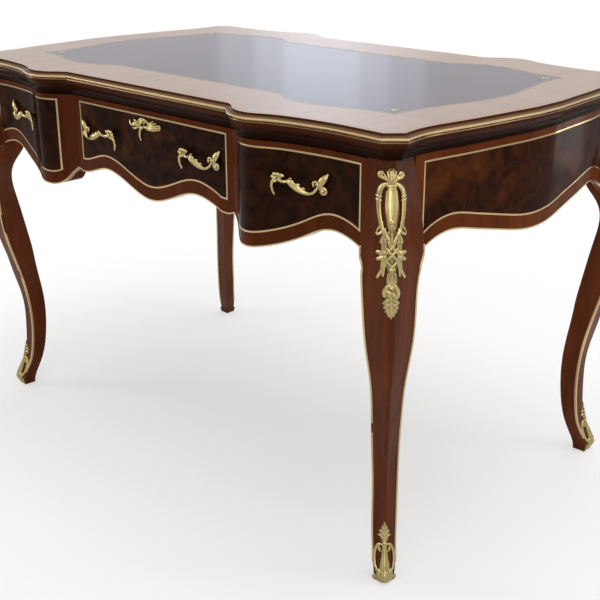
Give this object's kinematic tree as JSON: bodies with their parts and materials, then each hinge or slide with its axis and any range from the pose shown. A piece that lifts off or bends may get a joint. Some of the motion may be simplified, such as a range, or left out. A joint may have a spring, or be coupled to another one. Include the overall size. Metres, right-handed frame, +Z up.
{
  "type": "writing table",
  "caption": "Serpentine writing table with frieze drawers on cabriole legs, shaped aprons, leather writing surface and gilt-brass mounts.",
  "frame": {"origin": "on the floor, under the middle of the table's overall box", "axes": "+X to the right of someone facing the drawers, -Y out of the drawer fronts, +Z up"},
  "size_m": [1.248, 0.8014, 0.78],
  "materials": {
    "top_veneer": "gloss",
    "panel_veneer": "gloss",
    "edge_wood": "gloss",
    "leg_veneer": "gloss",
    "lining_wood": "satin",
    "leather": "satin",
    "line_brass": "polished",
    "mount_gilt": "burnished and matt",
    "lock_metal": "satin",
    "bolt_metal": "satin"
  },
  "bodies": {
    "carcass": {"top_panel": "top_veneer", "leather_inset": "leather", "edge_moulding_front": "edge_wood", "edge_moulding_back": "edge_wood", "edge_moulding_left": "edge_wood", "edge_moulding_right": "edge_wood", "edge_brasswork": "line_brass", "carcass_brasswork": "line_brass", "leg_front_right": "leg_veneer", "leg_fillets_front_right": "line_brass", "knee_mount_front_right": "mount_gilt", "sabot_front_right": "mount_gilt", "leg_front_left": "leg_veneer", "leg_fillets_front_left": "line_brass", "knee_mount_front_left": "mount_gilt", "sabot_front_left": "mount_gilt", "leg_back_right": "leg_veneer", "leg_fillets_back_right": "line_brass", "knee_mount_back_right": "mount_gilt", "sabot_back_right": "mount_gilt", "leg_back_left": "leg_veneer", "leg_fillets_back_left": "line_brass", "knee_mount_back_left": "mount_gilt", "sabot_back_left": "mount_gilt", "end_panel_right": "panel_veneer", "divider_right": "lining_wood", "drawer_runner_right": "lining_wood", "end_runner_right": "lining_wood", "end_panel_left": "panel_veneer", "divider_left": "lining_wood", "drawer_runner_left": "lining_wood", "end_runner_left": "lining_wood", "back_frieze": "panel_veneer", "top_rail": "lining_wood", "bottom_rail": "lining_wood"},
    "drawer_left": {"left_drawer_front": "panel_veneer", "left_drawer_back": "lining_wood", "left_drawer_bottom": "lining_wood", "left_drawer_brasswork": "line_brass", "left_drawer_side_inner": "lining_wood", "left_drawer_side_outer": "lining_wood", "left_drawer_handle": "mount_gilt"},
    "drawer_centre": {"centre_drawer_front": "panel_veneer", "centre_drawer_back": "lining_wood", "centre_drawer_bottom": "lining_wood", "centre_drawer_brasswork": "line_brass", "centre_drawer_side_right": "lining_wood", "centre_drawer_handle_right": "mount_gilt", "centre_drawer_side_left": "lining_wood", "centre_drawer_handle_left": "mount_gilt", "escutcheon": "mount_gilt", "lock_case": "lock_metal"},
    "drawer_right": {"right_drawer_front": "panel_veneer", "right_drawer_back": "lining_wood", "right_drawer_bottom": "lining_wood", "right_drawer_brasswork": "line_brass", "right_drawer_side_inner": "lining_wood", "right_drawer_side_outer": "lining_wood", "right_drawer_handle": "mount_gilt"},
    "lock_bolt": {"lock_bolt": "bolt_metal"}
  },
  "joints": [
    {"name": "drawer_left_slide", "type": "slide", "parent": "carcass", "child": "drawer_left", "axis": [0, -1, 0], "range_m": [0, 0.3]},
    {"name": "drawer_centre_slide", "type": "slide", "parent": "carcass", "child": "drawer_centre", "axis": [0, -1, 0], "range_m": [0, 0.3]},
    {"name": "drawer_right_slide", "type": "slide", "parent": "carcass", "child": "drawer_right", "axis": [0, -1, 0], "range_m": [0, 0.3]},
    {"name": "lock_bolt_slide", "type": "slide", "parent": "drawer_centre", "child": "lock_bolt", "axis": [0, 0, 1], "range_m": [0, 0.007]}
  ]
}
